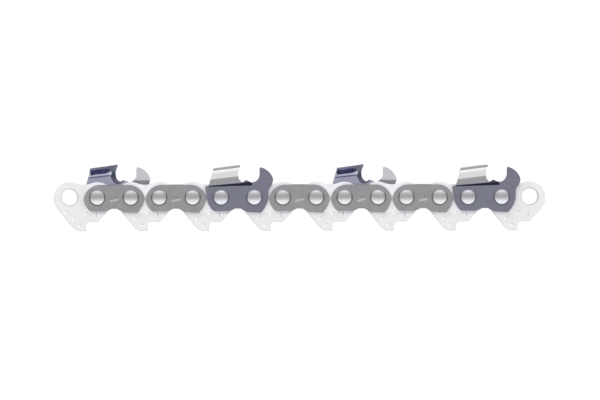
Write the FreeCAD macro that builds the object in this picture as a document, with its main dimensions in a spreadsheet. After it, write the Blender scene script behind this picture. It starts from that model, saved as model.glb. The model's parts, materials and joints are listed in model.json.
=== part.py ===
import FreeCAD, Part
import os
import re
import Sketcher

Vector = FreeCAD.Vector

# A straight, open length of saw chain, lying on its side.
# X runs along the chain in its direction of travel, +Y points at the cutting side, and the
# rivets stand along Z. The near, right-hand links are at +Z. The origin is the centre of the
# open pin hole at the left end, half way through the drive link.

# Driving sizes, in millimetres and degrees
SIZES = {
    # Pitch, plate thicknesses and running clearances
    "drive_pitch": 8.75,
    "strap_pitch": 10.3,
    "drive_gauge": 1.6,
    "plate_thickness": 1.5,
    "side_clearance": 0.05,
    "hub_clearance": 0.05,
    # Rivets
    "pin_hole_radius": 2.45,
    "shank_radius": 1.9,
    "head_rim": 0.5,
    "head_slope": 0.45,
    "head_height": 0.42,
    # Drive links, measured from the middle of the two pin holes
    "nose_wall": 2.3,
    "saddle_height": 3.9,
    "shoulder_drop": 1.45,
    "flank_inset": 1.22,
    "flank_drop": 3.7,
    "tang_depth": 10.4,
    "toe_radius": 3.7,
    "toe_flat": 0.75,
    "bill_reach": 0.6,
    "bill_radius": 1.4,
    "shelf_rise": 2.85,
    "shelf_end": 4.5,
    # Tie straps and the feet of the cutters, measured from the middle of the two rivets
    "strap_height": 3.86,
    "strap_end_out": 4.17,
    "shoulder_inset": 0.7,
    "end_drop": 0.5,
    "rear_cheek_turn": 43,
    "front_cheek_turn": 32,
    "rear_foot_out": 2.2,
    "rear_foot_depth": 4.22,
    "front_foot_out": 2.03,
    "front_foot_depth": 4.67,
    "front_heel_depth": 4.47,
    "notch_depth": 3.42,
    "notch_half": 0.9,
    "notch_flare": 0.65,
    "notch_step": 3.85,
    "heel_of_notch": 3.1,
    # Cutter plate and depth gauge
    "cutter_back": 4.88,
    "cutter_back_height": 3.25,
    "cutter_heel_out": 4.28,
    "cutter_waist_out": 4.3,
    "waist_height": 1,
    "plate_top_rear": 3.45,
    "plate_top_front": 3.9,
    "gauge_gap": 2.35,
    "gauge_floor": 4.55,
    "gauge_floor_turn": 75,
    "gauge_height": 9.3,
    "gauge_throat_rise": 2.3,
    "gauge_crown": 0.35,
    "gauge_back_turn": 62,
    "gauge_nose_out": 5.8,
    "gauge_nose_height": 5.6,
    "gauge_nose_turn": 46,
    "gauge_chin_out": 4.52,
    "gauge_chin_height": 2.85,
    "gauge_chin_turn": 20,
    "gauge_offset": 0.2,
    "gauge_bend_low": 5.0,
    "gauge_bend_high": 5.4,
    # Flared side plate and top plate: where the section stands along the link
    "form_rear": 8.95,
    "form_front": 4.4,
    "crease_rear": 3.3,
    "crease_front": 3.7,
    "ledge_rear": 3.6,
    "ledge_front": 4.74,
    "wide_rear": 5.46,
    "wide_front": 7.12,
    "top_rear": 8.77,
    "top_front": 10.54,
    "flare_rear": 0.55,
    "flare_front": 0.95,
    "reach_rear": 3.6,
    "reach_front": 4.1,
    "side_lean": 0.15,
    "top_corner": 1.15,
    "top_overhang": 0.7,
    "top_thickness": 0.8,
    "root_thickness": 1.15,
    "root_half": 0.7,
    "root_turn": 75,
    "foot_ahead": 0.35,
    "band_wall": 1.75,
    "band_rise": 0.7,
    "band_step": 0.6,
    "band_drop": 0.55,
    "rear_face_lean": 15.3,
    # Ground hollow and the bump that it leaves in front of it
    "file_angle": 33,
    "file_radius": 2.6,
    "file_height": 7.1,
    "edge_station": 0.28,
    "edge_upper_turn": 48,
    "edge_upper_reach": 1.9,
    "hollow_clearance": 0.46,
    "hollow_exit": 1.2,
    "hollow_exit_rise": 1.1,
    "hollow_width": 6.5,
    "bump_station": 2.65,
    "bump_height": 5.3,
}

# Links on each side of every riveted pair, counted from the left end
RIGHT_SIDE = ("strap", "strap", "cutter", "strap", "strap", "strap", "cutter")
LEFT_SIDE = ("cutter", "strap", "strap", "strap", "cutter", "strap", "strap")

PAIR_COUNT = len(RIGHT_SIDE)
BEYOND = 20


def bound(formula):
    """Turn the size names in a formula into references to the sheet."""
    return re.sub(r"\b([a-z]+(?:_[a-z]+)+)\b", r"Sizes.\1", formula)


def value_of(sheet, formula):
    """Work a formula out as a number."""
    return float(sheet.evalExpression(bound(formula)))


def line(x, y):
    """A corner of an outline, with a straight edge to the next corner."""
    return {"x": str(x), "y": str(y)}


def arc(x, y, turn=None, radius=None, left=True):
    """A corner with an arc to the next one, by its sweep in degrees or by its radius.

    The arc's centre lies to the left of the way from corner to corner, or to the right.
    """
    corner = line(x, y)
    corner["turn"] = None if turn is None else str(turn)
    corner["radius"] = None if radius is None else str(radius)
    corner["left"] = left
    return corner


def arc_radius(corner, following):
    """The formula for an arc's radius."""
    if corner["radius"] is not None:
        return corner["radius"]
    across = f"(({following['x']}) - ({corner['x']}))"
    along = f"(({following['y']}) - ({corner['y']}))"
    return f"sqrt({across}^2 + {along}^2) / (2 * sin(({corner['turn']}) / 2))"


def arc_geometry(start, end, radius, left):
    """The circular arc from start to end, with its centre on the given side."""
    chord = end - start
    half = chord.Length / 2
    across = Vector(-chord.y, chord.x, 0).normalize()
    height = max(radius**2 - half**2, 0) ** 0.5
    centre = (start + end) / 2 + across * (height if left else -height)
    circle = Part.Circle(centre, Vector(0, 0, 1), radius)
    first, last = (start, end) if left else (end, start)
    return Part.ArcOfCircle(circle, circle.parameter(first), circle.parameter(last))


def draw_outline(sketch, sheet, corners):
    """Draw a closed outline of lines and arcs, each corner bound to the sheet."""
    Constraint = Sketcher.Constraint
    places = [Vector(value_of(sheet, c["x"]), value_of(sheet, c["y"]), 0) for c in corners]
    count = len(corners)
    edges = []
    for index, corner in enumerate(corners):
        start, end = places[index], places[(index + 1) % count]
        if "turn" not in corner:
            edge = sketch.addGeometry(Part.LineSegment(start, end), False)
            edges.append((edge, 1, 2))
            continue
        formula = arc_radius(corner, corners[(index + 1) % count])
        radius = value_of(sheet, formula)
        edge = sketch.addGeometry(arc_geometry(start, end, radius, corner["left"]), False)
        edges.append((edge, 1, 2) if corner["left"] else (edge, 2, 1))
        number = sketch.addConstraint(Constraint("Radius", edge, radius))
        sketch.setExpression(f"Constraints[{number}]", bound(formula))
    for index, corner in enumerate(corners):
        edge, first, _ = edges[index]
        before, _, last = edges[index - 1]
        sketch.addConstraint(Constraint("Coincident", before, last, edge, first))
        for kind, axis in (("DistanceX", "x"), ("DistanceY", "y")):
            distance = getattr(places[index], axis)
            number = sketch.addConstraint(Constraint(kind, -1, 1, edge, first, distance))
            sketch.setExpression(f"Constraints[{number}]", bound(corner[axis]))


def draw_circle(sketch, sheet, x, y, radius):
    """Draw a circle whose centre and radius are bound to the sheet."""
    Constraint = Sketcher.Constraint
    centre = Vector(value_of(sheet, x), value_of(sheet, y), 0)
    size = value_of(sheet, radius)
    edge = sketch.addGeometry(Part.Circle(centre, Vector(0, 0, 1), size), False)
    number = sketch.addConstraint(Constraint("Radius", edge, size))
    sketch.setExpression(f"Constraints[{number}]", bound(radius))
    for kind, place, formula in (("DistanceX", centre.x, x), ("DistanceY", centre.y, y)):
        number = sketch.addConstraint(Constraint(kind, -1, 1, edge, 3, place))
        sketch.setExpression(f"Constraints[{number}]", bound(formula))


def new_sketch(body, name, plane, offset="0"):
    """Start a sketch on one of the body's own planes, moved along its normal."""
    sketch = body.newObject("Sketcher::SketchObject", name)
    support = [item for item in body.Origin.OriginFeatures if item.Role == plane][0]
    sketch.AttachmentSupport = [(support, "")]
    sketch.MapMode = "FlatFace"
    sketch.setExpression("AttachmentOffset.Base.z", bound(offset))
    return sketch


def new_body(doc, label, x, z="0"):
    """Start a body that carries its own name and place."""
    body = doc.addObject("PartDesign::Body", label)
    body.Label = label
    body.setExpression("Placement.Base.x", bound(x))
    body.setExpression("Placement.Base.z", bound(z))
    return body


def pad(body, sketch, length, symmetric=False):
    """Thicken a sketch into a plate."""
    feature = body.newObject("PartDesign::Pad", sketch.Name + "Pad")
    feature.Profile = sketch
    feature.Midplane = symmetric
    feature.setExpression("Length", bound(length))


def cut_through(body, sketch):
    """Cut a sketch right through the body, both ways, and make sure that it removed metal."""
    body.Document.recompute()
    before = body.Shape.Volume
    feature = body.newObject("PartDesign::Pocket", sketch.Name + "Cut")
    feature.Profile = sketch
    feature.Midplane = True
    feature.Length = 2 * BEYOND
    body.Document.recompute()
    if not body.Shape.Volume < before - 1e-6:
        raise RuntimeError(f"{feature.Name} removed nothing")
    return feature


def touch(centre, radius, point, left):
    """Where a line from an outside point touches a circle, as a pair of formulas.

    The touching point is to the left or the right of the way from the centre to the point.
    """
    run = f"(({point[0]}) - ({centre[0]}))"
    rise = f"(({point[1]}) - ({centre[1]}))"
    square = f"({run}^2 + {rise}^2)"
    reach = f"sqrt({square} - {radius}^2)"
    sign = "" if left else "-1 * "
    x = f"({centre[0]}) + {radius} * ({radius} * {run} - {sign}{reach} * {rise}) / {square}"
    y = f"({centre[1]}) + {radius} * ({radius} * {rise} + {sign}{reach} * {run}) / {square}"
    return x, y


def drive_outline():
    """The drive link's outline, from the left nose over the back and down round the tang."""
    half = "drive_pitch / 2"
    nose = "(pin_hole_radius + nose_wall)"
    end = f"({half} + {nose})"
    shelf = "(tang_depth - shelf_rise)"

    # The saddle is an arc that touches both noses
    saddle = f"((({half})^2 + saddle_height^2 - {nose}^2) / (2 * ({nose} - saddle_height)))"
    meet_x = f"(({half}) * {saddle} / ({nose} + {saddle}))"
    meet_y = f"({nose} * (saddle_height + {saddle}) / ({nose} + {saddle}))"

    # The rear flank is a line that touches the round toe
    flank_x = f"({end} - flank_inset)"
    toe = ("-toe_flat", "-(tang_depth - toe_radius)")
    toe_end = touch(toe, "toe_radius", (f"-{flank_x}", "-flank_drop"), left=True)
    return [
        arc(f"-{end}", "0", radius=nose, left=False),
        arc(f"-{meet_x}", meet_y, radius=saddle),
        arc(meet_x, meet_y, radius=nose, left=False),
        line(end, "0"),
        line(end, "-shoulder_drop"),
        line(flank_x, "-flank_drop"),
        line("shelf_end", f"-{shelf}"),
        arc("bill_reach + bill_radius", f"-{shelf}", turn=90),
        line("bill_reach", f"-({shelf} + bill_radius)"),
        line("bill_reach", "-tang_depth"),
        arc("-toe_flat", "-tang_depth", radius="toe_radius", left=False),
        line(*toe_end),
        line(f"-{flank_x}", "-flank_drop"),
        line(f"-{end}", "-shoulder_drop"),
    ]


def drive_link(doc, sheet, label, x):
    """One drive link, half its gauge each side of the middle of the chain."""
    body = new_body(doc, label, x)
    sketch = new_sketch(body, label + "_outline", "XY_Plane")
    draw_outline(sketch, sheet, drive_outline())
    for side in ("-1", "1"):
        draw_circle(sketch, sheet, f"{side} * drive_pitch / 2", "0", "pin_hole_radius")
    pad(body, sketch, "drive_gauge", symmetric=True)
    return body


def lower_edge(end_out):
    """The lower edge of a strap or cutter, from the front end past both feet to the rear cheek."""
    half = "strap_pitch / 2"
    return [
        arc(f"{half} + {end_out}", "-end_drop", turn="front_cheek_turn", left=False),
        line(f"{half} + front_foot_out", "-front_foot_depth"),
        line("heel_of_notch", "-front_heel_depth"),
        line("notch_half + notch_flare", "-notch_step"),
        line("notch_half", "-notch_depth"),
        line("-notch_half", "-notch_depth"),
        line("-(notch_half + notch_flare)", "-notch_step"),
        line("-heel_of_notch", "-rear_foot_depth"),
        arc(f"-({half} + rear_foot_out)", "-rear_foot_depth", turn="rear_cheek_turn", left=False),
    ]


def strap_outline():
    """The tie strap's outline, from its top edge over the front end and along the feet."""
    half = "strap_pitch / 2"

    # Each shoulder is an arc that touches the top edge
    across = "(strap_end_out + shoulder_inset)"
    down = "(strap_height + end_drop)"
    shoulder = f"({across}^2 + {down}^2) / (2 * {down})"
    return [
        line(f"-({half} - shoulder_inset)", "strap_height"),
        arc(f"{half} - shoulder_inset", "strap_height", radius=shoulder, left=False),
        *lower_edge("strap_end_out"),
        arc(f"-({half} + strap_end_out)", "-end_drop", radius=shoulder, left=False),
    ]


def tie_strap(doc, sheet, label, x, right):
    """One tie strap, on the right or the left side of the chain."""
    inner = "(drive_gauge / 2 + side_clearance)"
    body = new_body(doc, label, x, inner if right else f"-({inner} + plate_thickness)")
    sketch = new_sketch(body, label + "_outline", "XY_Plane")
    draw_outline(sketch, sheet, strap_outline())
    for side in ("-1", "1"):
        draw_circle(sketch, sheet, f"{side} * strap_pitch / 2", "0", "shank_radius")
    pad(body, sketch, "plate_thickness")
    return body


def rivet(doc, sheet, label, x):
    """One rivet, turned about Z: hub, two shanks and two spun heads."""
    body = new_body(doc, label, x)
    sketch = new_sketch(body, label + "_profile", "XZ_Plane")
    hub = "(pin_hole_radius - hub_clearance)"
    hub_top = "(drive_gauge / 2 + side_clearance)"
    plate_top = f"({hub_top} + plate_thickness)"
    rim = "(shank_radius + head_rim)"
    crown = f"({plate_top} + head_height)"
    upper = [
        (hub, hub_top),
        ("shank_radius", hub_top),
        ("shank_radius", plate_top),
        (rim, plate_top),
        (f"{rim} - head_slope", crown),
        ("0", crown),
    ]
    corners = [line(r, f"-{z}") for r, z in reversed(upper)]
    corners.extend(line(r, z) for r, z in upper)
    draw_outline(sketch, sheet, corners)
    turned = body.newObject("PartDesign::Revolution", label + "_turned")
    turned.Profile = sketch
    turned.ReferenceAxis = (sketch, ["V_Axis"])
    turned.Angle = 360
    return body


def cutter_outline():
    """The cutter's flat plate with its depth gauge, from the heel along the top."""
    half = "strap_pitch / 2"
    throat = "(form_front + gauge_gap)"
    return [
        line(f"-({half} + cutter_back)", "cutter_back_height"),
        line("-form_rear", "plate_top_rear"),
        line("form_front", "plate_top_front"),
        arc("form_front", "gauge_floor", turn="gauge_floor_turn"),
        line(throat, "gauge_floor + gauge_throat_rise"),
        line(throat, "gauge_height - gauge_crown"),
        arc(f"{throat} + gauge_crown", "gauge_height", turn="gauge_back_turn", left=False),
        arc(f"{half} + gauge_nose_out", "gauge_nose_height", turn="gauge_nose_turn", left=False),
        arc(f"{half} + gauge_chin_out", "gauge_chin_height", turn="gauge_chin_turn"),
        line(f"{half} + cutter_waist_out", "waist_height"),
        *lower_edge("cutter_waist_out"),
        line(f"-({half} + cutter_heel_out)", "-end_drop"),
    ]


def form_section(sheet, sketch, station):
    """The bent section of flared side and top plate, at the rear or the front station."""
    crease = f"crease_{station}"
    ledge = f"ledge_{station}"
    wide = f"wide_{station}"
    top = f"top_{station}"
    reach = f"reach_{station}"
    inner = "(drive_gauge / 2 + side_clearance)"
    outer = f"({inner} + plate_thickness)"
    corner = f"({reach} - side_lean - top_corner)"
    corners = [
        line(f"{crease} - plate_thickness", inner),
        line(crease, outer),
        line(ledge, f"{outer} + flare_{station}"),
        line(wide, reach),
        arc(f"{top} - top_corner", f"{reach} - side_lean", turn=90, left=False),
        line(top, corner),
        line(top, "-top_overhang"),
        line(f"{top} - top_thickness", "-top_overhang"),
        arc(f"{top} - root_thickness", "root_half", turn="root_turn"),
        line(f"{wide} + band_rise", f"{reach} - band_wall"),
        line(f"{wide} + band_rise - band_step", f"{reach} - band_wall - band_drop"),
        line(f"{crease} + foot_ahead", inner),
    ]
    draw_outline(sketch, sheet, corners)


def hollow_corners():
    """The ground hollow, seen along the grinding wheel's way through the cutter."""
    return [
        arc("0", "file_height", turn=90),
        line("file_radius", "file_height - file_radius"),
        line("file_radius + hollow_exit", "file_height - file_radius + hollow_exit_rise"),
        line("hollow_width", "file_height + hollow_exit_rise"),
        line("hollow_width", "top_front + hollow_clearance"),
        arc("edge_upper_reach", "top_front + hollow_clearance", turn="edge_upper_turn"),
    ]


def cutter(doc, sheet, label, x):
    """One right-hand cutter."""
    inner = "(drive_gauge / 2 + side_clearance)"
    outer = f"({inner} + plate_thickness)"
    body = new_body(doc, label, x)
    sketch = new_sketch(body, label + "_outline", "XY_Plane", f"{inner} - gauge_offset")
    draw_outline(sketch, sheet, cutter_outline())
    for side in ("-1", "1"):
        draw_circle(sketch, sheet, f"{side} * strap_pitch / 2", "0", "shank_radius")
    pad(body, sketch, "plate_thickness + gauge_offset")

    # The plate is cut back inside below the bend and outside above it
    sketch = new_sketch(body, label + "_bend", "YZ_Plane")
    draw_outline(sketch, sheet, [
        line("-2 * front_foot_depth", "0"),
        line("gauge_bend_high", "0"),
        line("gauge_bend_high", f"{inner} - gauge_offset"),
        line("gauge_bend_low", inner),
        line("-2 * front_foot_depth", inner),
    ])
    draw_outline(sketch, sheet, [
        line("gauge_bend_low", outer),
        line("gauge_bend_high", f"{outer} - gauge_offset"),
        line("2 * gauge_height", f"{outer} - gauge_offset"),
        line("2 * gauge_height", f"{outer} + plate_thickness"),
        line("gauge_bend_low", f"{outer} + plate_thickness"),
    ])
    cut_through(body, sketch)

    # The flared side and the top plate run from the rear station to the front one
    rear = new_sketch(body, label + "_rear_section", "YZ_Plane", "-form_rear")
    form_section(sheet, rear, "rear")
    front = new_sketch(body, label + "_front_section", "YZ_Plane", "form_front")
    form_section(sheet, front, "front")
    doc.recompute()
    form = body.newObject("PartDesign::AdditiveLoft", label + "_form")
    form.Profile = rear
    form.Sections = [front]
    form.Ruled = True
    doc.recompute()

    # The rear of the formed part leans forward
    sketch = new_sketch(body, label + "_rear_face", "XY_Plane")
    lean = "tan(rear_face_lean)"
    draw_outline(sketch, sheet, [
        line("-2 * form_rear", "plate_top_rear"),
        line("-form_rear", "plate_top_rear"),
        line(f"-form_rear + 2 * top_rear * {lean}", "plate_top_rear + 2 * top_rear"),
        line("-2 * form_rear", "plate_top_rear + 2 * top_rear"),
    ])
    cut_through(body, sketch)

    # The gullet opens in front of the bump
    sketch = new_sketch(body, label + "_gullet", "XY_Plane")
    draw_outline(sketch, sheet, [
        line("bump_station", "bump_height"),
        line("form_front", "gauge_floor"),
        line("form_front", "2 * top_front"),
        line("bump_station", "2 * top_front"),
    ])
    cut_through(body, sketch)

    # The cutting edge is ground hollow, at the filing angle across the chain
    sketch = new_sketch(body, label + "_hollow", "XY_Plane")
    sketch.AttachmentOffset.Rotation.Axis = Vector(0, 1, 0)
    sketch.setExpression("AttachmentOffset.Base.x", bound("edge_station"))
    sketch.setExpression("AttachmentOffset.Base.z", bound("reach_front"))
    sketch.setExpression("AttachmentOffset.Rotation.Angle", bound("file_angle"))
    draw_outline(sketch, sheet, hollow_corners())
    cut_through(body, sketch)
    return body


doc = FreeCAD.newDocument("SawChain")
sheet = doc.addObject("Spreadsheet::Sheet", "Sizes")
for row, (alias, size) in enumerate(SIZES.items(), start=1):
    sheet.set(f"A{row}", alias.replace("_", " "))
    sheet.set(f"B{row}", str(size))
    sheet.setAlias(f"B{row}", alias)
doc.recompute()

# The chain: drive links and riveted pairs follow each other at even steps
STEP = "(drive_pitch + strap_pitch)"
pieces = []
for index in range(PAIR_COUNT + 1):
    place = f"drive_pitch / 2 + {index} * {STEP}"
    pieces.append(drive_link(doc, sheet, f"drive_link_{index + 1}", place))

cutters = {}
for index in range(PAIR_COUNT):
    middle = f"drive_pitch + strap_pitch / 2 + {index} * {STEP}"
    for hole in (0, 1):
        place = f"drive_pitch + {hole} * strap_pitch + {index} * {STEP}"
        pieces.append(rivet(doc, sheet, f"rivet_{2 * index + hole + 1}", place))
    if RIGHT_SIDE[index] == "cutter":
        label = f"right_cutter_{index + 1}"
        cutters[index] = cutter(doc, sheet, label, middle)
        pieces.append(cutters[index])
    else:
        pieces.append(tie_strap(doc, sheet, f"right_strap_{index + 1}", middle, right=True))
    if LEFT_SIDE[index] == "strap":
        pieces.append(tie_strap(doc, sheet, f"left_strap_{index + 1}", middle, right=False))

# A left-hand cutter is the mirror image of a right-hand one, across the middle of the chain
pattern_index = min(cutters)
for index in range(PAIR_COUNT):
    if LEFT_SIDE[index] != "cutter":
        continue
    mirrored = doc.addObject("Part::Mirroring", f"left_cutter_{index + 1}")
    mirrored.Label = f"left_cutter_{index + 1}"
    mirrored.Source = cutters[pattern_index]
    mirrored.Normal = Vector(0, 0, 1)
    mirrored.setExpression("Placement.Base.x", bound(f"{index - pattern_index} * {STEP}"))
    pieces.append(mirrored)

doc.recompute()
for item in doc.Objects:
    if "Invalid" in item.State or "Error" in item.State:
        raise RuntimeError(f"{item.Name} was not built: {item.State}")
for piece in pieces:
    if piece.Shape.isNull() or not piece.Shape.isValid() or len(piece.Shape.Solids) != 1:
        raise RuntimeError(f"{piece.Label} is not one valid solid")

os.makedirs("parts", exist_ok=True)
for piece in pieces:
    piece.Shape.exportStep(f"parts/{piece.Label}.step")
print(f"{len(pieces)} pieces written")
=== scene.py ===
"""Studio scene for a straight, open length of saw chain.

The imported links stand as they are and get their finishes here. The rivets are turned again with
domed, spun heads. Sizes are in millimetres unless a name says otherwise.
"""

import json
import logging
import math
from dataclasses import dataclass, field
from enum import Enum
from typing import Any, Dict, List, Mapping, Optional, Sequence, Tuple, Union

import bmesh
import bpy
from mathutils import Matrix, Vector

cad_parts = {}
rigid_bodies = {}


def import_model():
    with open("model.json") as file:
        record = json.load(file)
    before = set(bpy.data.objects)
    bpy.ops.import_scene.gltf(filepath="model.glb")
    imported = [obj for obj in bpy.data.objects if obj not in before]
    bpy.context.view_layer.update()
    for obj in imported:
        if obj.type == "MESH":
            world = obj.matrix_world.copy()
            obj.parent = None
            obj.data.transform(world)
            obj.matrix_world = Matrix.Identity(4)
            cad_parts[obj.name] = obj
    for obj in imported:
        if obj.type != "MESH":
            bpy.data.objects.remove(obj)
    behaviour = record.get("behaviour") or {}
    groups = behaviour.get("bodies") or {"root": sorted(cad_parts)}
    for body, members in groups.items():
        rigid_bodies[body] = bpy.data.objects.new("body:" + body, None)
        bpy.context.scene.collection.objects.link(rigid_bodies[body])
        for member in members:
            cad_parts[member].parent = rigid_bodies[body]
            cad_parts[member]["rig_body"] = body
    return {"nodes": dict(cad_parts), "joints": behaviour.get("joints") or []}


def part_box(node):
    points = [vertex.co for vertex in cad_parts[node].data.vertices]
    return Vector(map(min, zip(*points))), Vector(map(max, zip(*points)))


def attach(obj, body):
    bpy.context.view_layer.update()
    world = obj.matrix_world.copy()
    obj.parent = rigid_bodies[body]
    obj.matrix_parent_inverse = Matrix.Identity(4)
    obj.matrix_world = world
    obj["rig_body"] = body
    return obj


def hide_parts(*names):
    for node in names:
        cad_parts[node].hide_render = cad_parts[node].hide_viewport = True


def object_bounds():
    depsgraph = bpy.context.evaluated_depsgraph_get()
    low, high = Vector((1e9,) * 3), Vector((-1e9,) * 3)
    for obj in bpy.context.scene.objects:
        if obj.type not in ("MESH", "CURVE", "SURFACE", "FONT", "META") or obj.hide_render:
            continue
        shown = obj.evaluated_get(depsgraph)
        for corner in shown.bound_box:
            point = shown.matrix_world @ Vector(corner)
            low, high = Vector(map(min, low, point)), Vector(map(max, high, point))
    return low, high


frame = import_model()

CAD_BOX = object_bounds()
MM = 0.001
ON_AXIS = 1e-6
NOISE_MIDDLE = 0.5

Colour = Tuple[float, float, float, float]
Point = Tuple[float, float, float]
Pair = Tuple[float, float]
# The measures that give 0 and 1 in Value.step
Span = Tuple[float, float]
log = logging.getLogger("saw_chain")


def tone(red: float, green: float, blue: float) -> Colour:
    """Turn a colour as it looks on a screen into the linear colour of a shader.

    Args:
        red: Red, from 0 to 255.
        green: Green, from 0 to 255.
        blue: Blue, from 0 to 255.

    Returns:
        The linear colour, with an alpha of 1.
    """
    parts = [channel / 255 for channel in (red, green, blue)]
    linear = [p / 12.92 if p <= 0.04045 else ((p + 0.055) / 1.055) ** 2.4 for p in parts]
    return (linear[0], linear[1], linear[2], 1.0)


class Value:
    """A number socket that takes part in Python expressions."""

    def __init__(self, graph: "Graph", socket: bpy.types.NodeSocket) -> None:
        """Wrap a socket.

        Args:
            graph: The graph that new nodes are added to.
            socket: The output socket that carries the number.
        """
        self.graph = graph
        self.socket = socket

    def __add__(self, other: "Term") -> "Value":
        """Add a term."""
        return self.graph.math("ADD", self, other)

    def __radd__(self, other: "Term") -> "Value":
        """Add this value to a term."""
        return self.graph.math("ADD", other, self)

    def __sub__(self, other: "Term") -> "Value":
        """Take a term away."""
        return self.graph.math("SUBTRACT", self, other)

    def __rsub__(self, other: "Term") -> "Value":
        """Take this value away from a term."""
        return self.graph.math("SUBTRACT", other, self)

    def __mul__(self, other: "Term") -> "Value":
        """Multiply by a term."""
        return self.graph.math("MULTIPLY", self, other)

    def __rmul__(self, other: "Term") -> "Value":
        """Multiply a term by this value."""
        return self.graph.math("MULTIPLY", other, self)

    def __truediv__(self, other: "Term") -> "Value":
        """Divide by a term."""
        return self.graph.math("DIVIDE", self, other)

    def __rtruediv__(self, other: "Term") -> "Value":
        """Divide a term by this value."""
        return self.graph.math("DIVIDE", other, self)

    def __pow__(self, other: "Term") -> "Value":
        """Raise to a power."""
        return self.graph.math("POWER", self, other)

    def __rpow__(self, other: "Term") -> "Value":
        """Raise a term to this power."""
        return self.graph.math("POWER", other, self)

    def __abs__(self) -> "Value":
        """Drop the sign."""
        return self.graph.math("ABSOLUTE", self)

    def larger(self, other: "Term") -> "Value":
        """Take the larger of this value and a term."""
        return self.graph.math("MAXIMUM", self, other)

    def from_nearest(self, middle: float, apart: float) -> "Value":
        """Measure how far a point is from the middle of its link, for links in a row.

        Args:
            middle: Where the middle of one link is.
            apart: How far apart the middles are.

        Returns:
            The distance from the nearest middle, below 0 before it.
        """
        return self.graph.math("WRAP", self - middle, apart / 2, -apart / 2)

    def step(self, low: "Term", high: "Term") -> "Value":
        """Rise smoothly from 0 at low to 1 at high, or fall where low is the larger.

        Args:
            low: The value that gives 0.
            high: The value that gives 1.

        Returns:
            The eased share between the two.
        """
        node = self.graph.node(
            "ShaderNodeMapRange",
            {"interpolation_type": "SMOOTHSTEP"},
            {"Value": self, "From Min": low, "From Max": high},
        )
        return Value(self.graph, node.outputs["Result"])


Term = Union[Value, float, int]
Input = Union[Value, bpy.types.NodeSocket, float, int, str, Sequence[float]]


def distance(along: Value, up: Value) -> Value:
    """Work out how long the straight line is that goes so far along and so far up."""
    return (along**2 + up**2) ** 0.5


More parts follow.
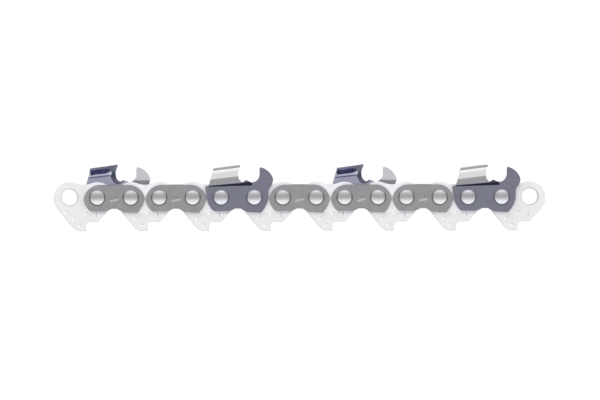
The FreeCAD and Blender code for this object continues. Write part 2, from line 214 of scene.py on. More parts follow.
class Graph:
    """Adds nodes to the tree of one material or of the world."""

    MIX_FACTOR, MIX_A, MIX_B, MIX_RESULT = 0, 6, 7, 2
    EDGE_SAMPLES = 8
    EDGE_LEVEL: Span = (0.995, 0.86)
    EDGE_AHEAD: Span = (-0.05, 0.15)

    def __init__(self, tree: bpy.types.NodeTree) -> None:
        """Start from an empty tree.

        Args:
            tree: The node tree to fill.
        """
        self.tree = tree
        tree.nodes.clear()

    def node(
        self,
        kind: str,
        settings: Optional[Mapping[str, Any]] = None,
        inputs: Optional[Mapping[Union[str, int], Input]] = None,
    ) -> bpy.types.Node:
        """Add a node, set it up and fill its sockets.

        Args:
            kind: The node's type.
            settings: Properties of the node, set before its sockets.
            inputs: Values or links, by socket name or number.

        Returns:
            The new node.
        """
        made = self.tree.nodes.new(kind)
        for name, setting in (settings or {}).items():
            setattr(made, name, setting)
        for key, term in (inputs or {}).items():
            source = term.socket if isinstance(term, Value) else term
            if isinstance(source, bpy.types.NodeSocket):
                self.tree.links.new(source, made.inputs[key])
            else:
                made.inputs[key].default_value = source
        return made

    def math(self, operation: str, *terms: Term) -> Value:
        """Add a Math node.

        Args:
            operation: The node's operation.
            terms: Its inputs, in order.

        Returns:
            The node's result.
        """
        made = self.node("ShaderNodeMath", {"operation": operation}, dict(enumerate(terms)))
        return Value(self, made.outputs[0])

    def mix(self, share: Term, first: Input, second: Input) -> bpy.types.NodeSocket:
        """Mix two colours.

        Args:
            share: How much of the second colour there is, from 0 to 1.
            first: A colour.
            second: Another colour.

        Returns:
            The mixed colour's socket.
        """
        inputs = {self.MIX_FACTOR: share, self.MIX_A: first, self.MIX_B: second}
        made = self.node("ShaderNodeMix", {"data_type": "RGBA"}, inputs)
        return made.outputs[self.MIX_RESULT]

    def split(self, vector: bpy.types.NodeSocket) -> Tuple[Value, Value, Value]:
        """Take a vector apart.

        Args:
            vector: The vector's socket.

        Returns:
            Its three parts.
        """
        made = self.node("ShaderNodeSeparateXYZ", inputs={"Vector": vector})
        return tuple(Value(self, part) for part in made.outputs)

    def stretched(self, vector: bpy.types.NodeSocket, by: Point) -> bpy.types.NodeSocket:
        """Scale a vector along each axis.

        Args:
            vector: The vector's socket.
            by: The factor along each axis.

        Returns:
            The scaled vector's socket.
        """
        made = self.node("ShaderNodeVectorMath", {"operation": "MULTIPLY"}, {0: vector, 1: by})
        return made.outputs[0]

    def rays(self, *kinds: str) -> List[Value]:
        """Tell which kind of ray meets the surface.

        Args:
            kinds: The kinds, such as Camera.

        Returns:
            For each kind, 1 where the ray is of that kind and 0 elsewhere.
        """
        path = self.node("ShaderNodeLightPath")
        return [Value(self, path.outputs[f"Is {kind} Ray"]) for kind in kinds]

    def rounded(self, width: float, samples: int) -> bpy.types.NodeSocket:
        """Round the surface's direction off near its edges.

        Args:
            width: How far the rounding reaches, in millimetres.
            samples: How many directions are tried.

        Returns:
            The rounded direction's socket.
        """
        made = self.node("ShaderNodeBevel", {"samples": samples}, {"Radius": width * MM})
        return made.outputs[0]

    def edge(self, width: float, forward: float = 1.0) -> Value:
        """Find the border of the faces that look along Z.

        Args:
            width: How wide the border is, in millimetres.
            forward: How much of it is kept where the edge looks forwards, along X.

        Returns:
            A share that rises from 0 inside the border to 1 at the face's edge.
        """
        ahead, _, level = self.split(self.rounded(width, self.EDGE_SAMPLES))
        kept = 1 - (1 - forward) * ahead.step(*self.EDGE_AHEAD)
        return abs(level).step(*self.EDGE_LEVEL) * kept

    def noise(
        self, vector: bpy.types.NodeSocket, scale: float = 1.0, detail: float = 3.0
    ) -> Value:
        """Add a noise texture.

        Args:
            vector: Where the noise is looked up.
            scale: How many grains there are to a unit of the vector.
            detail: How many finer layers are added.

        Returns:
            The noise, from 0 to 1.
        """
        made = self.node(
            "ShaderNodeTexNoise",
            {"normalize": True},
            {"Vector": vector, "Scale": scale, "Detail": detail},
        )
        return Value(self, made.outputs["Fac"])


@dataclass(frozen=True)
class Layout:
    """Where the links and rivets stand along the chain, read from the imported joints."""

    step: float
    pair_middle: float
    half_pair: float
    drive_middle: float
    length: float

    @classmethod
    def read(cls, joints: Sequence[Mapping[str, Any]]) -> "Layout":
        """Work the layout out from the hinges of the first three rivets and of the last one.

        Args:
            joints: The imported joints.

        Returns:
            The layout.
        """
        along = {joint["name"]: joint["pos_m"][0] / MM for joint in joints}
        first, second, third = (along[f"rivet_{number}_hinge"] for number in (1, 2, 3))
        last = max(along.values())
        return cls(
            step=third - first,
            pair_middle=(first + second) / 2,
            half_pair=(second - first) / 2,
            drive_middle=first / 2,
            length=last + first,
        )


@dataclass(frozen=True)
class Skin:
    """What a finish says of one point. The height is in millimetres."""

    colour: bpy.types.NodeSocket
    roughness: Value
    height: Value
    metal: Term = 1.0


@dataclass(frozen=True)
class Finish:
    """What every finish has: a name, a gloss and its grain."""

    name: str
    roughness: float
    grain_depth: float = 0.004
    edge_round: float = 0.05
    edge_samples: int = 6
    sheen: float = 0.1

    def material(self) -> bpy.types.Material:
        """Make the material.

        Returns:
            The finished material.
        """
        made = bpy.data.materials.new(self.name)
        made.use_nodes = True
        graph = Graph(made.node_tree)
        where = graph.node("ShaderNodeTexCoord")
        point = graph.stretched(where.outputs["Object"], (1 / MM,) * 3)
        skin = self.surface(graph, point, where.outputs["Normal"])
        bump = graph.node(
            "ShaderNodeBump",
            inputs={
                "Strength": 1.0,
                "Distance": MM,
                "Height": skin.height,
                "Normal": graph.rounded(self.edge_round, self.edge_samples),
            },
        )
        shader = graph.node(
            "ShaderNodeBsdfPrincipled",
            inputs={
                "Base Color": skin.colour,
                "Roughness": skin.roughness,
                "Metallic": skin.metal,
                "Specular IOR Level": self.sheen,
                "Normal": bump.outputs[0],
            },
        )
        graph.node("ShaderNodeOutputMaterial", inputs={"Surface": shader.outputs[0]})
        return made

    def surface(
        self, graph: Graph, point: bpy.types.NodeSocket, facing: bpy.types.NodeSocket
    ) -> Skin:
        """Describe the surface.

        Args:
            graph: The material's graph.
            point: The shaded point, in millimetres.
            facing: The surface's direction.

        Returns:
            What the surface is like at each point.
        """
        raise NotImplementedError


@dataclass(frozen=True)
class GroundSteel(Finish):
    """Bright drive links: ground faces with pressed dimples, and painted light and shade round the
    straps.
    """

    layout: Optional[Layout] = None
    metal: float = 0.4
    pale: Colour = tone(224, 224, 225)
    shade: Colour = tone(221, 221, 222)
    border: Colour = tone(165, 165, 170)
    mark: Colour = tone(150, 150, 156)
    white: Colour = tone(255, 255, 255)
    painted_lift: Colour = tone(243, 243, 249)
    cloud_scale: float = 0.35
    cloud: Span = (0.35, 0.75)
    lines_stretch: Point = (0.4, 6.0, 1.0)
    lines_rough: float = 0.1
    flat: Span = (0.72, 0.95)
    covered: Span = (4.0, 6.5)
    painted_lift_reach: Span = (6.0, 4.3)
    # Painted light in the gaps and throats between the straps and below them, and painted shadow
    # right under them
    gap_half: Span = (1.4, 0.6)
    gap_height: Span = (2.8, 1.0)
    throat_half: Span = (4.2, 2.8)
    throat_top: Span = (-0.5, -2.0)
    throat_foot: Span = (-5.2, -4.4)
    throat_share: float = 0.4
    under_straps: Span = (1.9, 2.9)
    shadow_under_foot: Span = (-5.3, -4.8)
    shadow_under_top: Span = (0.0, -1.0)
    shadow_under_share: float = 0.3
    lift_below_foot: Span = (-6.4, -5.6)
    lift_below_top: Span = (-5.1, -5.6)
    lift_below_share: float = 0.2
    border_width: float = 0.45
    border_forward: float = 0.4
    hump_foot: Span = (0.5, 2.5)
    hump_bare: float = 0.95
    dimples: Tuple[Pair, ...] = ((-5.47, -4.9), (-3.27, -6.72), (-1.35, -8.84), (0.55, -5.1))
    dimple_reach: Span = (0.56, 0.0)
    dimple_share: float = 0.7
    dimple_depth: float = 0.06
    shadow_offset: Pair = (0.45, 0.5)
    shadow_reach: Span = (0.56, 0.05)
    shadow_share: float = 0.3
    stroke_middle: Pair = (3.9, -5.3)
    stroke_wide: Span = (0.18, 0.054)
    stroke_tall: Span = (0.9, 0.72)
    stroke_share: float = 0.6
    stroke_depth: float = 0.03
    ring_radius: float = 2.72
    ring_half: float = 0.2
    ring_shade: Pair = (0.35, 0.65)
    ring_rise: Span = (0.0, 3.2)
    ring_share: float = 0.75

    def painted_light_and_shadow(self, along: Value, up: Value, covered: Value) -> Tuple[Value, Value]:
        """Find the painted light that lifts the shade between the straps and below them, and the
        painted shadow right under them.

        Args:
            along: The distance from the link's middle.
            up: The height over the line of the rivets.
            covered: Where the links run between straps.

        Returns:
            How bright the painted light is in the gaps and in the strip below the straps, and how
            dark the painted shadow under the straps is.
        """
        gap = abs(along).step(*self.gap_half) * abs(up).step(*self.gap_height)
        throat = abs(along).step(*self.throat_half) * up.step(*self.throat_top)
        gap = (gap + self.throat_share * throat * up.step(*self.throat_foot)) * covered
        under = abs(along).step(*self.under_straps) * covered
        lift_below = self.lift_below_share * under * up.step(*self.lift_below_foot) * up.step(*self.lift_below_top)
        shadow_under = self.shadow_under_share * under * up.step(*self.shadow_under_foot) * up.step(*self.shadow_under_top)
        return gap + lift_below, shadow_under

    def pressed(self, along: Value, up: Value) -> Tuple[Value, Value, Value]:
        """Find the marks that are pressed into the face.

        Args:
            along: The distance from the link's middle.
            up: The height over the line of the rivets.

        Returns:
            The dimples, whose mask also places their painted highlights, their painted shadows and
            the stroke.
        """
        dimples_and_glints = sum(
            self.dimple_share * distance(along - x, up - y).step(*self.dimple_reach)
            for x, y in self.dimples
        )
        right, rise = self.shadow_offset
        shadows = sum(
            distance(along - x - right, up - y - rise).step(*self.shadow_reach)
            for x, y in self.dimples
        )
        stroke = abs(along - self.stroke_middle[0]).step(*self.stroke_wide)
        return dimples_and_glints, shadows, stroke * abs(up - self.stroke_middle[1]).step(*self.stroke_tall)

    def surface(
        self, graph: Graph, point: bpy.types.NodeSocket, facing: bpy.types.NodeSocket
    ) -> Skin:
        """Describe the ground face: its grain, its border of painted edge shade, painted light and
        shadow round the straps, and its marks with painted highlights and shadows.

        Args:
            graph: The material's graph.
            point: The shaded point, in millimetres.
            facing: The surface's direction.

        Returns:
            What the surface is like at each point.
        """
        place, up, _ = graph.split(point)
        to_end = self.layout.length - place
        covered = place.step(*self.covered) * to_end.step(*self.covered)
        along = place.from_nearest(self.layout.drive_middle, self.layout.step)
        _, _, across = graph.split(facing)
        flat = abs(across).step(*self.flat)

        cloud = graph.noise(point, self.cloud_scale)
        lines = graph.noise(graph.stretched(point, self.lines_stretch))
        colour = graph.mix(cloud.step(*self.cloud), self.pale, self.shade)
        sideways = abs(along) - self.layout.drive_middle
        centre = distance(sideways, up)
        # painted light: the face is lifted paler near the straps, where their shade falls
        shade_lift = centre.step(*self.painted_lift_reach) * covered * flat
        colour = graph.mix(shade_lift, colour, self.painted_lift)
        # painted light in the gaps and below the straps, and painted shadow right under them
        bright, shadow_under = self.painted_light_and_shadow(along, up, covered)
        colour = graph.mix(bright * flat, colour, self.white)

        dimples_and_glints, shadows, stroke = self.pressed(along, up)
        # painted shade: a ring round each bore, darker towards one side
        least, more = self.ring_shade
        slanted = (along / abs(along) * sideways + up).step(*self.ring_rise)
        ring = abs(centre - self.ring_radius).step(self.ring_half, 0.0)
        ring = ring * (least + more * slanted)
        # painted highlights on the dimples
        colour = graph.mix(dimples_and_glints * flat, colour, self.white)
        # painted shade: the dimples' shadows, the rings round the bores and the shadow under the
        # straps, with the real stroke mark
        dark = self.shadow_share * shadows + self.stroke_share * stroke
        dark = dark + self.ring_share * ring + shadow_under
        colour = graph.mix(dark * flat, colour, self.mark)

        # painted edge shade along the border, weaker where the edge looks forwards and on the hump
        border = graph.edge(self.border_width, self.border_forward)
        border = border * (1 - self.hump_bare * up.step(*self.hump_foot))
        colour = graph.mix(border, colour, self.border)
        roughness = self.roughness + self.lines_rough * (lines - NOISE_MIDDLE)
        pressed = (self.dimple_depth * dimples_and_glints + self.stroke_depth * stroke) * flat
        return Skin(colour, roughness, self.grain_depth * lines - pressed, self.metal)


@dataclass(frozen=True)
class TemperedSteel(Finish):
    """Tie straps: matte grey with a short slanted punch mark."""

    layout: Optional[Layout] = None
    grey: Colour = tone(171, 171, 173)
    dull: Colour = tone(165, 165, 167)
    ring: Colour = tone(104, 104, 106)
    mark_highlight: Colour = tone(214, 214, 214)
    border: Colour = tone(128, 128, 130)
    cloud_scale: float = 0.5
    cloud: Span = (0.35, 0.65)
    grit_scale: float = 9.0
    grit_detail: float = 2.0
    grit_rough: float = 0.14
    outer_face: Span = (0.0, 1.5)
    mark_middle: Pair = (0.02, -0.8)
    mark_turn: float = 15.0
    mark_long: Span = (1.5, 1.2)
    mark_wide: Span = (0.34, 0.102)
    mark_share: float = 0.85
    mark_smooth: float = 0.12
    mark_height: float = 0.04
    lip_middle: Pair = (0.7, 0.68)
    lip_half: Pair = (0.9, 0.68)
    lip_share: float = 0.35
    nick_middle: Pair = (1.35, 0.15)
    nick_radius: float = 0.35
    nick_share: float = 0.5
    dent_depth: float = 0.03
    ring_reach: Span = (2.75, 2.45)
    ring_low: Span = (0.95, 0.4)
    ring_share: float = 0.6
    border_width: float = 0.3
    border_share: float = 0.8

    def surface(
        self, graph: Graph, point: bpy.types.NodeSocket, facing: bpy.types.NodeSocket
    ) -> Skin:
        """Describe the tempered face with its punch mark, a nick, painted shade round the rivet
        heads and painted edge shade.

        Args:
            graph: The material's graph.
            point: The shaded point, in millimetres.
            facing: The surface's direction.

        Returns:
            What the surface is like at each point.
        """
        along, up, out = graph.split(point)
        along = along.from_nearest(self.layout.pair_middle, self.layout.step)
        _, _, across = graph.split(facing)
        outer = (across * out).step(*self.outer_face)

        # The punch mark with a painted highlight, and a lip beside it, dented a little and given
        # painted shade, on the outer face only
        turn = math.radians(self.mark_turn)
        run, rise = along - self.mark_middle[0], up - self.mark_middle[1]
        reach = run * math.cos(turn) + rise * math.sin(turn)
        side = rise * math.cos(turn) - run * math.sin(turn)
        mark = abs(reach).step(*self.mark_long) * abs(side).step(*self.mark_wide) * outer
        lip = abs(reach - self.lip_middle[0]).step(self.lip_half[0], 0.0)
        lip = lip * abs(side - self.lip_middle[1]).step(self.lip_half[1], 0.0) * outer
        nick = distance(along - self.nick_middle[0], up - self.nick_middle[1])
        nick = nick.step(self.nick_radius, 0.0) * outer

        cloud = graph.noise(point, self.cloud_scale)
        grit = graph.noise(point, self.grit_scale, self.grit_detail)
        colour = graph.mix(cloud.step(*self.cloud), self.grey, self.dull)
        # painted shade round the rivet heads, weaker towards the top, with painted shade on the lip
        # and a darker nick
        centre = distance(abs(along) - self.layout.half_pair, up)
        rim = centre.step(*self.ring_reach) * (up / centre).step(*self.ring_low)
        shade = self.ring_share * rim + self.lip_share * lip + self.nick_share * nick
        colour = graph.mix(shade, colour, self.ring)
        # painted highlight on the punch mark
        colour = graph.mix(mark * self.mark_share, colour, self.mark_highlight)
        # painted edge shade along the border
        border = self.border_share * graph.edge(self.border_width)
        colour = graph.mix(border, colour, self.border)
        roughness = self.roughness + self.grit_rough * (grit - NOISE_MIDDLE)
        height = self.grain_depth * grit + self.mark_height * mark
        height = height - self.dent_depth * (lip + nick)
        return Skin(colour, roughness - self.mark_smooth * mark, height)


@dataclass(frozen=True)
class SpunSteel(Finish):
    """Rivets: a bright dome in a spun rim darkened by painted shade, most of all low down."""

    bright: Colour = tone(230, 230, 232)
    dull: Colour = tone(114, 114, 118)
    dome_edge: Span = (2.06, 2.2)
    rim_shade: Pair = (0.45, 0.55)
    rim_low: Span = (0.95, 0.3)
    rim_rough: float = 0.2
    turning_lines: float = 42.0
    turning_depth: float = 0.1
    cloud_scale: float = 1.3
    cloud_detail: float = 2.0
    cloud_share: float = 0.08
    cloud_rough: float = 0.06

    def surface(
        self, graph: Graph, point: bpy.types.NodeSocket, facing: bpy.types.NodeSocket
    ) -> Skin:
        """Describe the turned and spun surface.

        Args:
            graph: The material's graph.
            point: The shaded point, in millimetres.
            facing: The surface's direction; not used here.

        Returns:
            What the surface is like at each point.
        """
        along, up, _ = graph.split(point)
        centre = distance(along, up)
        # painted shade on the spun rim round the dome, weaker towards the top
        rim = centre.step(*self.dome_edge)
        least, more = self.rim_shade
        shaded = rim * (least + more * (up / centre).step(*self.rim_low))
        rings = graph.math("SINE", centre * self.turning_lines)
        cloud = graph.noise(point, self.cloud_scale, self.cloud_detail)
        colour = graph.mix(shaded + self.cloud_share * cloud, self.bright, self.dull)
        roughness = self.roughness + self.cloud_rough * (cloud - NOISE_MIDDLE)
        roughness = roughness + self.rim_rough * rim
        return Skin(colour, roughness, self.grain_depth * rings * self.turning_depth)


@dataclass(frozen=True)
class CutterPoint:
    """A point of a cutter: where it is and looks, and where the form's lines run beside it."""

    along: Value
    up: Value
    depth: Value
    ahead: Value
    over: Value
    outward: Value
    crease: Value
    ledge: Value
    wide: Value
    top: Value
    reach: Value
    band: Value


@dataclass(frozen=True)
class HardChrome(Finish):
    """Cutters: plated slate blue, with painted reflections and shade on the formed top, and freshly
    ground hollows.

    Each of the form's own lines, from crease to band, is given at the form's rear and front.
    """

    layout: Optional[Layout] = None
    side: float = 1.0

    # The flat plate
    slate: Colour = tone(146, 149, 161)
    violet: Colour = tone(146, 143, 162)
    ring: Colour = tone(88, 88, 98)
    border: Colour = tone(96, 96, 108)
    cloud_scale: float = 0.3
    cloud: Span = (0.35, 0.65)
    violet_front: Span = (5.0, 6.4)
    ring_reach: Span = (2.75, 2.45)
    ring_low: Span = (0.9, 0.2)
    ring_share: float = 0.6
    border_width: float = 0.25
    border_share: float = 0.5

    # The form's own lines
    form_rear: float = -8.95
    form_front: float = 4.4
    crease: Pair = (3.3, 3.7)
    ledge: Pair = (3.6, 4.74)
    wide: Pair = (5.46, 7.12)
    top: Pair = (8.77, 10.54)
    reach: Pair = (3.6, 4.1)
    band: Pair = (6.0, 7.59)

    # The outside of the form: painted shade in the crease and on the bump, and painted reflection
    # bands from the bend to the crown, with a painted highlight
    flank: Colour = tone(142, 142, 151)
    outer_bands: Tuple[Tuple[Colour, Span], ...] = (
        (tone(141, 141, 141), (-0.55, -0.2)),
        (tone(210, 210, 212), (-0.05, 0.07)),
        (tone(230, 230, 230), (0.44, 0.64)),
        (tone(150, 150, 150), (0.73, 0.83)),
    )
    outer_facing: Span = (-0.1, 0.15)
    outer_fade: float = 0.02
    over_crease: Span = (-0.02, 0.06)
    over_ledge: Span = (0.0, 0.2)
    bump_rear: Span = (1.2, 1.8)
    form_metal: float = 0.5

    # The inside of the form, with painted shade under the top, a painted highlight band, painted
    # shade along a fold and a painted shadow in the pocket
    navy: Colour = tone(51, 53, 86)
    night: Colour = tone(34, 33, 54)
    streak: Colour = tone(98, 102, 146)
    lilac: Colour = tone(190, 194, 211)
    fold: Colour = tone(104, 103, 122)
    inner_wall: Colour = tone(143, 142, 161)
    near_edge: Colour = tone(98, 99, 116)
    inner_facing: Span = (0.3, -0.1)
    inner_over: Span = (0.95, 0.7)
    inner_foot: Span = (3.6, 3.9)
    inner_depth: Span = (-0.3, -0.5)
    inner_fade: float = 0.1
    inner_rough: float = 0.1
    inner_metal: float = 0.1
    line_half: float = 0.06
    fold_foot: Span = (-0.5, -0.25)
    fold_top: Span = (0.04, -0.08)
    fold_front: Span = (1.0, -2.0)
    lilac_rear: Span = (-5.5, -7.5)
    lilac_fall: float = 0.5
    band_height: float = 0.56
    band_tip: float = 0.8
    band_front: Span = (-2.9, -0.5)
    streak_stretch: Point = (0.12, 3.0, 3.0)
    streaks: Span = (0.47, 0.66)
    pocket_rear: float = -7.42
    pocket_night: Span = (1.2, 0.2)
    night_share: float = 0.6
    near_edge_depth: Span = (-0.4, -0.6)
    near_edge_height: Span = (-0.75, -0.5)

    # The ground hollow and the throat in front of it
    ground: Colour = tone(115, 119, 135)
    ground_shade: Colour = tone(73, 77, 91)
    ground_foot: Colour = tone(90, 85, 108)
    ground_ahead: Span = (0.2, 0.45)
    ground_fade: float = 0.2
    ground_low: Span = (3.9, 4.2)
    ground_middle: Pair = (1.02, 6.05)
    ground_radius: float = 1.95
    ground_line: float = 0.04
    ground_facing: Span = (0.3, 0.05)
    ground_height: float = 0.3
    shade_height: Span = (8.4, 6.8)
    foot_height: Span = (6.4, 5.0)
    ground_rough: float = 0.12
    wheel_stretch: Point = (3.0, 18.0, 3.0)
    wheel_detail: float = 2.0
    wheel_depth: float = 2.0
    grit_scale: float = 6.0
    grit_rough: float = 0.08

    # The depth gauge
    gauge_inner: Colour = tone(219, 218, 224)
    gauge_foot: Colour = tone(155, 154, 161)
    gauge_rear: Span = (5.8, 6.4)
    gauge_facing: Span = (0.2, -0.2)
    gauge_low: Span = (3.6, 4.2)
    gauge_bend: Span = (5.05, 5.35)

    def read(
        self, graph: Graph, point: bpy.types.NodeSocket, facing: bpy.types.NodeSocket
    ) -> CutterPoint:
        """Work out where a point is on its cutter.

        Args:
            graph: The material's graph.
            point: The shaded point, in millimetres.
            facing: The surface's direction.

        Returns:
            The point in the cutter's own terms, with depth and outward to its own side.
        """
        along, up, out = graph.split(point)
        along = along.from_nearest(self.layout.pair_middle, 2 * self.layout.step)
        run = (along - self.form_rear) / (self.form_front - self.form_rear)
        ends = (self.crease, self.ledge, self.wide, self.top, self.reach, self.band)
        lines = [rear + (front - rear) * run for rear, front in ends]
        ahead, over, across = graph.split(facing)
        return CutterPoint(along, up, out * self.side, ahead, over, across * self.side, *lines)

    def plate(
        self, graph: Graph, point: bpy.types.NodeSocket, at: CutterPoint
    ) -> bpy.types.NodeSocket:
        """Colour the flat plate, with painted shade round the rivet heads and painted shade along
        its border.

        Args:
            graph: The material's graph.
            point: The shaded point, in millimetres.
            at: The point in the cutter's own terms.

        Returns:
            The plate's colour.
        """
        cloud = graph.noise(point, self.cloud_scale)
        tint = cloud.step(*self.cloud).larger(at.along.step(*self.violet_front))
        colour = graph.mix(tint, self.slate, self.violet)
        # painted shade round each rivet head, weaker towards the top
        centre = distance(abs(at.along) - self.layout.half_pair, at.up)
        rim = centre.step(*self.ring_reach) * (at.up / centre).step(*self.ring_low)
        colour = graph.mix(self.ring_share * rim, colour, self.ring)
        # painted edge shade along the border
        return graph.mix(self.border_share * graph.edge(self.border_width), colour, self.border)

    def outside(
        self, graph: Graph, at: CutterPoint, formed: Value, colour: bpy.types.NodeSocket
    ) -> bpy.types.NodeSocket:
        """Paint reflections and shade on the outside of the form, from the crease to the top, and
        shade on the bump before it.

        Args:
            graph: The material's graph.
            at: The point in the cutter's own terms.
            formed: Where the outside is.
            colour: The colour elsewhere.

        Returns:
            The colour with the outside laid over it.
        """
        height = (at.up - at.wide) / (at.top - at.wide)
        # painted shade in the crease under the form, then a flank of painted shade where the form
        # faces down
        colour = graph.mix(formed, colour, self.night)
        flank = formed * (at.up - at.ledge).step(*self.over_ledge)
        colour = graph.mix(flank, colour, self.flank)
        # painted reflection bands, a painted highlight among them and a dark painted reflection at
        # the crown
        for tint, rise in self.outer_bands:
            colour = graph.mix(formed * height.step(*rise), colour, tint)
        # painted shade on the bump before the hollow
        return graph.mix(formed * at.along.step(*self.bump_rear), colour, self.night)

    def wall(
        self, graph: Graph, point: bpy.types.NodeSocket, at: CutterPoint
    ) -> bpy.types.NodeSocket:
        """Colour the inside of the form: the wall, painted shade along a fold, a painted highlight
        band, painted shade under the top and a painted shadow in the dark pocket.

        Args:
            graph: The material's graph.
            point: The shaded point, in millimetres.
            at: The point in the cutter's own terms.

        Returns:
            The inner wall's colour.
        """
        above = at.up - at.band
        # painted shade along the fold
        creased = above.step(*self.fold_foot) * above.step(*self.fold_top)
        creased = creased * at.along.step(*self.fold_front)
        wall = graph.mix(creased, self.inner_wall, self.fold)
        # painted highlight band, fading towards the rear
        faded = self.lilac_fall * at.along.step(*self.lilac_rear)
        bright = graph.mix(faded, self.lilac, self.inner_wall)
        wall = graph.mix(above.step(-self.line_half, self.line_half), wall, bright)

        # painted shade under the top plate, with lighter streaks, and a painted shadow in the
        # pocket behind
        streaks = graph.noise(graph.stretched(point, self.streak_stretch))
        dark = graph.mix(streaks.step(*self.streaks), self.navy, self.streak)
        behind = at.along - self.pocket_rear
        dark = graph.mix(self.night_share * behind.step(*self.pocket_night), dark, self.night)
        dark = graph.mix(behind.step(self.line_half, -self.line_half), dark, bright)
        tip = self.band_height + self.band_tip * at.along.step(*self.band_front)
        wall = graph.mix((above - tip).step(-self.line_half, self.line_half), wall, dark)

        edge = at.depth.step(*self.near_edge_depth)
        edge = edge * (at.up - at.top).step(*self.near_edge_height)
        return graph.mix(edge, wall, self.near_edge)

    def hollow(self, at: CutterPoint) -> Value:
        """Find the ground faces.

        Args:
            at: The point in the cutter's own terms.

        Returns:
            A share that is 1 on the hollow, on the throat and on the file's way through them.
        """
        ground = at.ahead.step(*self.ground_ahead)
        ground = ground * at.along.step(self.form_front, self.form_front - self.ground_fade)
        ground = ground * at.up.step(*self.ground_low)
        middle, height = self.ground_middle
        swept = distance(at.along - middle, at.up - height)
        line, radius = self.ground_line, self.ground_radius
        swept = swept.step(radius + line, radius - line) * at.outward.step(*self.ground_facing)
        swept = swept * at.up.step(height, height - self.ground_height)
        return ground.larger(swept)

    def surface(
        self, graph: Graph, point: bpy.types.NodeSocket, facing: bpy.types.NodeSocket
    ) -> Skin:
        """Describe the plated plate, the formed top, the ground hollow and the depth gauge.

        Args:
            graph: The material's graph.
            point: The shaded point, in millimetres.
            facing: The surface's direction.

        Returns:
            What the surface is like at each point.
        """
        at = self.read(graph, point, facing)
        colour = self.plate(graph, point, at)

        formed = at.outward.step(*self.outer_facing)
        formed = formed * at.along.step(self.form_front + self.outer_fade, self.form_front)
        formed = formed * (at.up - at.crease).step(*self.over_crease)
        colour = self.outside(graph, at, formed, colour)

        inside = at.outward.step(*self.inner_facing) * at.over.step(*self.inner_over)
        inner = inside * at.up.step(*self.inner_foot)
        inner = inner * (at.depth - at.reach).step(*self.inner_depth)
        inner = inner * at.along.step(self.form_front, self.form_front - self.inner_fade)
        colour = graph.mix(inner, colour, self.wall(graph, point, at))

        hollow = self.hollow(at)
        shade = graph.mix(at.up.step(*self.shade_height), self.ground, self.ground_shade)
        shade = graph.mix(at.up.step(*self.foot_height), shade, self.ground_foot)
        colour = graph.mix(hollow, colour, shade)

        gauge = at.along.step(*self.gauge_rear) * at.outward.step(*self.gauge_facing)
        gauge = gauge * at.up.step(*self.gauge_low)
        pale = graph.mix(at.up.step(*self.gauge_bend), self.gauge_foot, self.gauge_inner)
        colour = graph.mix(gauge, colour, pale)

        wheel = graph.noise(graph.stretched(point, self.wheel_stretch), detail=self.wheel_detail)
        grit = graph.noise(point, self.grit_scale)
        roughness = self.roughness + self.grit_rough * (grit - NOISE_MIDDLE)
        roughness = roughness + self.ground_rough * hollow + self.inner_rough * inside
        relief = grit * (1 - hollow) + self.wheel_depth * wheel * hollow
        metal = 1 - (1 - self.form_metal) * formed
        metal = metal - (1 - self.inner_metal) * inner * (1 - hollow)
        return Skin(colour, roughness, self.grain_depth * relief, metal)


class Slot(Enum):
    """The record's material slots."""

    DRIVE_LINK = "drive_link"
    TIE_STRAP = "tie_strap"
    CUTTER = "cutter"
    RIVET = "rivet"


@dataclass
class PackedLinks:
    """Packed links of one kind, kept as they are and given their finish."""

    slot: Slot
    word: str
    finish: Finish
    names: List[str] = field(default_factory=list)

    def dress(self, nodes: Mapping[str, bpy.types.Object]) -> None:
        """Give every node of this kind its material.

        Args:
            nodes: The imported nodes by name.
        """
        material = self.finish.material()
        for name, node in sorted(nodes.items()):
            if self.word in name:
                node.data.materials.clear()
                node.data.materials.append(material)
                self.names.append(name)


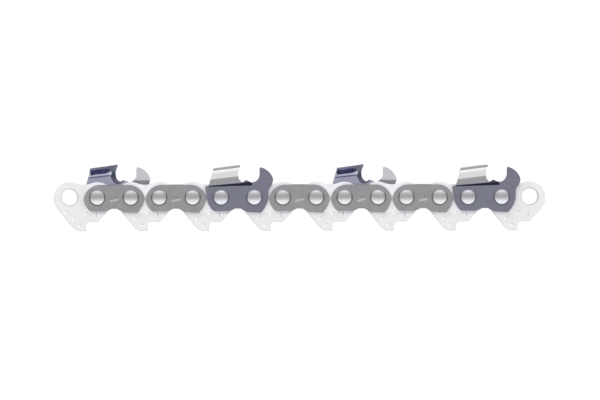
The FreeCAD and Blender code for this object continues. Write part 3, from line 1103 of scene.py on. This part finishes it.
@dataclass
class Rivets:
    """The rivets, turned with a hub, two shanks and domed, spun heads."""

    finish: Finish
    # the second finish paints a bluish reflection on heads beside a near cutter
    blue_reflection_finish: Finish
    blue_reflection_beside: str = "right_cutter"
    shank_share: float = 0.79
    hub_half: float = 0.85
    plate_half: float = 2.35
    rim_height: float = 0.06
    groove_radius: float = 2.17
    groove_height: float = 0.14
    groove_lip: Pair = (0.08, 0.02)
    dome_radius: float = 2.11
    dome_foot: float = 0.22
    dome_steps: int = 10
    turns: int = 72
    sharp_angle: float = 24.0
    names: List[str] = field(default_factory=list)

    def profile(self, rim: float, crown: float) -> List[Pair]:
        """Work out the upper half of the turned outline, from the middle outwards and up.

        Args:
            rim: The radius of the head.
            crown: The height of the dome's top above the chain's middle.

        Returns:
            Radius and height of each point.
        """
        shank, plate = rim * self.shank_share, self.plate_half
        wider, higher = self.groove_lip
        points = [(rim, 0.0), (rim, self.hub_half), (shank, self.hub_half), (shank, plate)]
        points += [(rim, plate), (rim, plate + self.rim_height)]
        points += [(self.groove_radius + wider, plate + self.groove_height + higher)]
        points += [(self.groove_radius, plate + self.groove_height)]
        foot, rise = plate + self.dome_foot, crown - plate - self.dome_foot
        arch = (self.dome_radius**2 + rise**2) / (2 * rise)
        widest = math.asin(self.dome_radius / arch)
        for number in range(self.dome_steps + 1):
            angle = widest * (1 - number / self.dome_steps)
            points.append((arch * math.sin(angle), foot + rise - arch * (1 - math.cos(angle))))
        return points

    def mesh(self, rim: float, crown: float) -> bpy.types.Mesh:
        """Turn the outline about Z into a closed mesh, in metres.

        Args:
            rim: The radius of the head.
            crown: The height of the dome's top above the chain's middle.

        Returns:
            The mesh.
        """
        half = self.profile(rim, crown)
        outline = [(r, -z) for r, z in reversed(half)] + half[1:]
        angles = [2 * math.pi * turn / self.turns for turn in range(self.turns)]
        shape = bmesh.new()
        rings: List[List[bmesh.types.BMVert]] = []
        for radius, height in outline:
            if radius < ON_AXIS:
                rings.append([shape.verts.new((0, 0, height * MM))])
                continue
            rings.append([
                shape.verts.new((radius * math.cos(a) * MM, radius * math.sin(a) * MM, height * MM))
                for a in angles
            ])
        for lower, upper in zip(rings, rings[1:]):
            for turn in range(self.turns):
                after = (turn + 1) % self.turns
                corners = [ring[index % len(ring)] for ring, index in
                           ((lower, turn), (lower, after), (upper, after), (upper, turn))]
                shape.faces.new(list(dict.fromkeys(corners)))
        bmesh.ops.recalc_face_normals(shape, faces=shape.faces)
        for face in shape.faces:
            face.smooth = True
        for edge in shape.edges:
            edge.smooth = edge.calc_face_angle(0.0) < math.radians(self.sharp_angle)
        made = bpy.data.meshes.new("turned_rivet")
        shape.to_mesh(made)
        shape.free()
        return made

    def build(self, nodes: Mapping[str, bpy.types.Object]) -> None:
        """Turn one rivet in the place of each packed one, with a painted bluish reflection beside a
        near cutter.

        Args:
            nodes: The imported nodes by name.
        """
        plain, blue_reflecting = self.finish.material(), self.blue_reflection_finish.material()
        plates = [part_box(name) for name in nodes if name.startswith(self.blue_reflection_beside)]
        for name in sorted(node for node in nodes if node.startswith("rivet")):
            low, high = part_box(name)
            middle = (low + high) / 2
            made = self.mesh((high.x - low.x) / 2 / MM, high.z / MM)
            near = any(start.x < middle.x < end.x for start, end in plates)
            # heads on a near cutter get the painted bluish reflection
            made.materials.append(blue_reflecting if near else plain)
            piece = bpy.data.objects.new(f"turned_{name}", made)
            bpy.context.scene.collection.objects.link(piece)
            piece.location = (middle.x, middle.y, 0)
            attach(piece, nodes[name]["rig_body"])
            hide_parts(name)
            self.names.append(piece.name)


@dataclass
class Studio:
    """Floor, light and camera. The lamps' sizes and places and the clip are in metres."""

    frame_width: float = 185.39
    aim: Point = (71.2, -0.93, 0.0)
    distance: float = 900.0
    tilt: float = 3.0
    turn: float = -0.12
    sensor: float = 36.0
    clip: Pair = (0.01, 10.0)
    floor_colour: Colour = (0.9, 0.9, 0.9, 1.0)
    floor_half: float = 2500.0
    floor_gap: float = 0.02
    floor_glow: float = 0.8
    floor_strength: float = 1.12
    sky_colour: Colour = (1.0, 1.0, 1.0, 1.0)
    sky_level: float = 1.15
    sky_band: float = 0.72
    band_rise: Span = (-0.25, -0.08)
    band_fall: Span = (0.42, 0.09)
    sky_far: float = 0.85
    far_rise: Span = (0.5, 0.8)
    sky_glare: float = 0.3
    glare_rise: Span = (0.2, 0.36)
    glare_fall: Span = (0.6, 0.5)
    lamp_size: Pair = (0.6, 0.3)
    soft_box: Point = (-0.08, 0.42, 0.5)
    soft_box_power: float = 1.2
    fill: Point = (0.0, 0.02, 0.7)
    fill_power: float = 1.2

    def build_floor(self) -> None:
        """Lay a pale floor under the chain."""
        low, _ = CAD_BOX
        height, half = low.z - self.floor_gap * MM, self.floor_half * MM
        mesh = bpy.data.meshes.new("floor")
        corners = [(-half, -half, height), (half, -half, height), (half, half, height),
                   (-half, half, height)]
        mesh.from_pydata(corners, [], [(0, 1, 2, 3)])
        floor = bpy.data.objects.new("floor", mesh)
        bpy.context.scene.collection.objects.link(floor)
        material = bpy.data.materials.new("pale_floor")
        material.use_nodes = True
        graph = Graph(material.node_tree)
        matte = graph.node("ShaderNodeBsdfDiffuse", inputs={"Color": self.floor_colour})
        glow = graph.node("ShaderNodeEmission", inputs={"Strength": self.floor_strength})
        straight, mirrored, through = graph.rays("Camera", "Glossy", "Transmission")
        seen = straight.larger(mirrored).larger(through)
        mixed = graph.node(
            "ShaderNodeMixShader",
            inputs={0: seen * self.floor_glow, 1: matte.outputs[0], 2: glow.outputs[0]},
        )
        graph.node("ShaderNodeOutputMaterial", inputs={"Surface": mixed.outputs[0]})
        mesh.materials.append(material)

    def build_lamp(self, name: str, offset: Point, power: float) -> None:
        """Hang a large soft lamp that metal doesn't mirror, turned to the chain.

        Args:
            name: The lamp's name.
            offset: Where it hangs from the middle of the chain, in metres.
            power: Its power, in watts.
        """
        lamp = bpy.data.lights.new(name, "AREA")
        lamp.shape, (lamp.size, lamp.size_y) = "RECTANGLE", self.lamp_size
        lamp.energy = power
        box = bpy.data.objects.new(name, lamp)
        bpy.context.scene.collection.objects.link(box)
        aim = Vector(self.aim) * MM
        box.location = aim + Vector(offset)
        box.visible_glossy = False
        box.rotation_mode = "QUATERNION"
        box.rotation_quaternion = (box.location - aim).to_track_quat("Z", "Y")

    def build_light(self) -> None:
        """Set a soft sky with a darker and a brighter band, a key lamp and a fill lamp."""
        world = bpy.data.worlds.new("soft_studio")
        bpy.context.scene.world = world
        world.use_nodes = True
        graph = Graph(world.node_tree)
        where = graph.node("ShaderNodeTexCoord")
        _, along, _ = graph.split(where.outputs["Generated"])
        band = along.step(*self.band_rise) * along.step(*self.band_fall)
        far = along.step(*self.far_rise)
        strength = self.sky_level - self.sky_band * band - (self.sky_level - self.sky_far) * far
        glare = self.sky_glare * along.step(*self.glare_rise) * along.step(*self.glare_fall)
        seen, = graph.rays("Camera")
        strength = (strength + glare) * (1 - seen) + seen
        sky = graph.node(
            "ShaderNodeBackground", inputs={"Color": self.sky_colour, "Strength": strength}
        )
        graph.node("ShaderNodeOutputWorld", inputs={"Surface": sky.outputs[0]})
        self.build_lamp("soft_box", self.soft_box, self.soft_box_power)
        self.build_lamp("fill", self.fill, self.fill_power)

    def build_camera(self) -> None:
        """Stand the camera over the chain, a little to its cutting side."""
        data = bpy.data.cameras.new("camera")
        data.sensor_width = self.sensor
        data.lens = data.sensor_width * self.distance / self.frame_width
        data.clip_start, data.clip_end = self.clip
        camera = bpy.data.objects.new("camera", data)
        bpy.context.scene.collection.objects.link(camera)
        tilt, turn = math.radians(self.tilt), math.radians(self.turn)
        back = Vector((
            -math.sin(turn) * math.sin(tilt), math.cos(turn) * math.sin(tilt), math.cos(tilt)
        ))
        camera.location = (Vector(self.aim) + back * self.distance) * MM
        camera.rotation_euler = (-tilt, 0, turn)
        bpy.context.scene.camera = camera

    def build(self) -> None:
        """Build floor, light and camera."""
        self.build_floor()
        self.build_light()
        self.build_camera()
        bpy.context.scene.view_settings.view_transform = "Standard"


def main() -> None:
    """Build and dress the chain, then the studio round it."""
    logging.basicConfig(level=logging.INFO, format="%(message)s")
    layout = Layout.read(frame["joints"])
    ground = GroundSteel("ground_steel", roughness=0.34, layout=layout)
    tempered = TemperedSteel("tempered_steel", roughness=0.4, layout=layout)
    chrome_right = HardChrome("chrome_right", roughness=0.32, layout=layout)
    chrome_left = HardChrome("chrome_left", roughness=0.32, layout=layout, side=-1.0)
    kinds = (
        PackedLinks(Slot.DRIVE_LINK, "drive_link", ground),
        PackedLinks(Slot.TIE_STRAP, "strap", tempered),
        PackedLinks(Slot.CUTTER, "right_cutter", chrome_right),
        PackedLinks(Slot.CUTTER, "left_cutter", chrome_left),
    )
    for kind in kinds:
        kind.dress(frame["nodes"])
        log.info("%s: %s", kind.slot.value, ", ".join(kind.names))
    spun = SpunSteel("spun_steel", roughness=0.2)
    # painted reflection: a bluish tint for the heads that sit on a near cutter
    blue_reflecting = SpunSteel("spun_steel_blue_reflection", roughness=0.2, bright=tone(230, 232, 239))
    rivets = Rivets(spun, blue_reflecting)
    rivets.build(frame["nodes"])
    log.info("%s: %s", Slot.RIVET.value, ", ".join(rivets.names))
    Studio().build()


if __name__ == "__main__":
    main()
